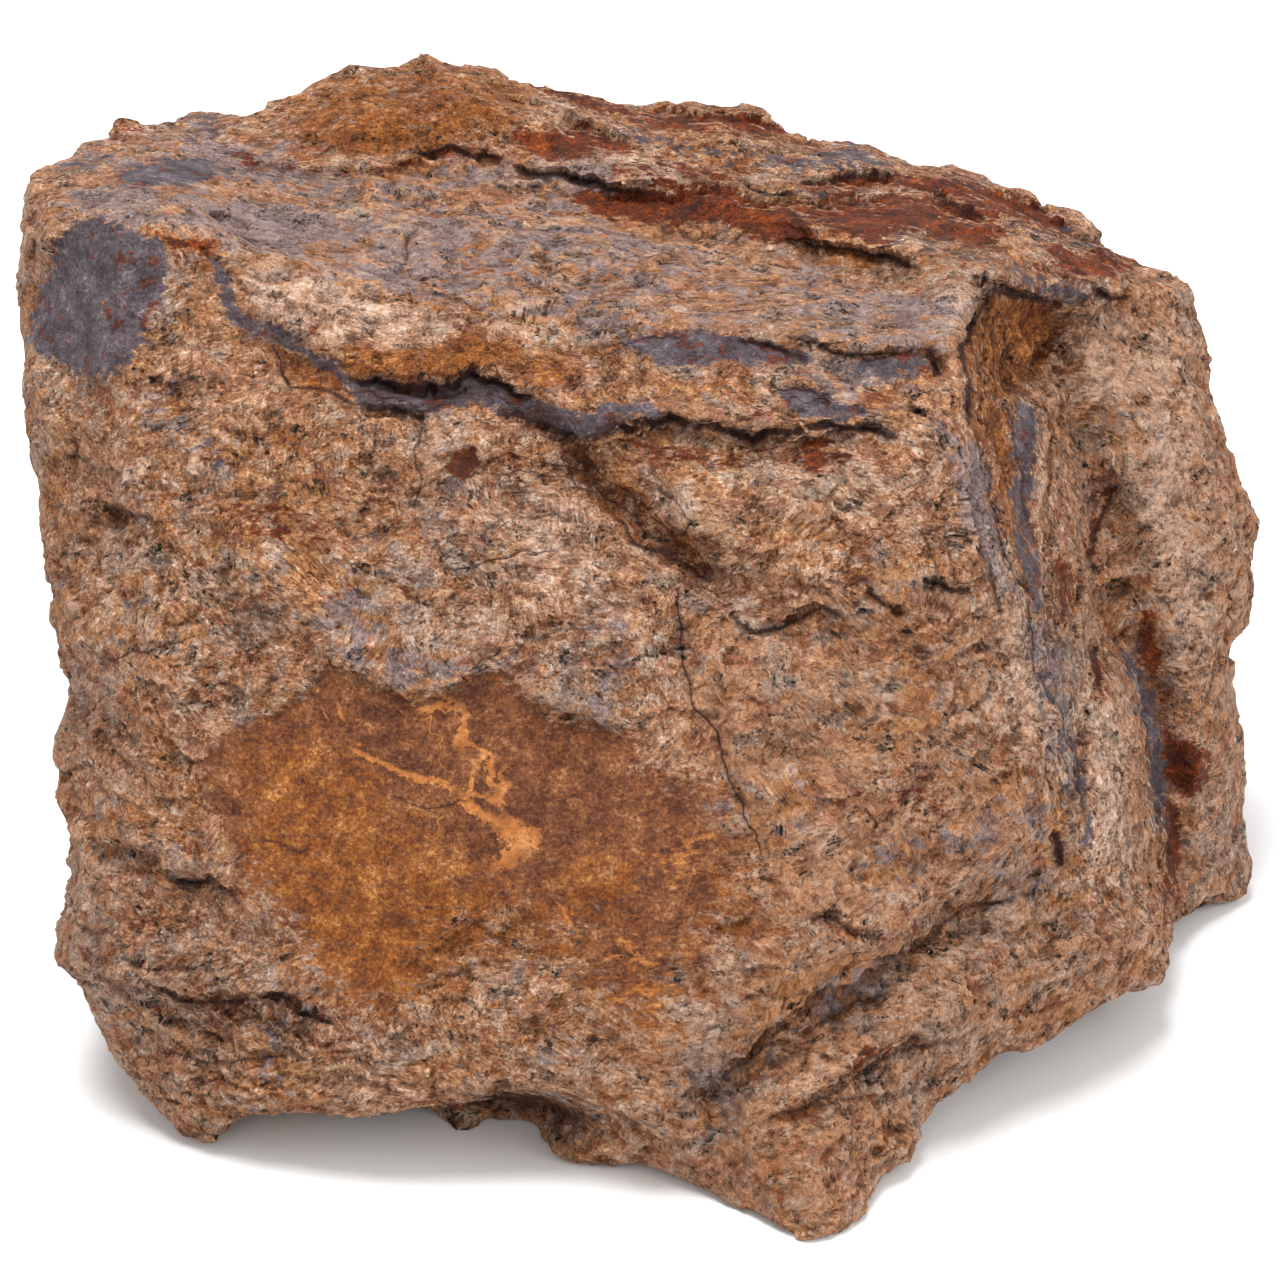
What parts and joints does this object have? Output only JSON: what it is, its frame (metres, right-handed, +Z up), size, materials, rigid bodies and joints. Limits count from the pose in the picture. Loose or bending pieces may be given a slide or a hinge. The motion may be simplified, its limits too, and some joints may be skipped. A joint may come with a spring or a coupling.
{
  "type": "rough bronzite",
  "caption": "Rough broken lump of bronzite: a blocky brown stone with a flat-topped face, cracked ledges and rusty bedding, resting on its broken base.",
  "frame": {"origin": "middle of the bounding box, on the surface the stone rests on", "axes": "+X along the stone's longest side, to the right seen from its large flat face; +Y from that face towards the back; +Z up"},
  "size_m": [0.0988, 0.0898, 0.0625],
  "materials": {
    "bronzite": "rough broken stone, dull with small silky crystal faces"
  },
  "bodies": {
    "root": {"bronzite": "bronzite"}
  },
  "joints": []
}
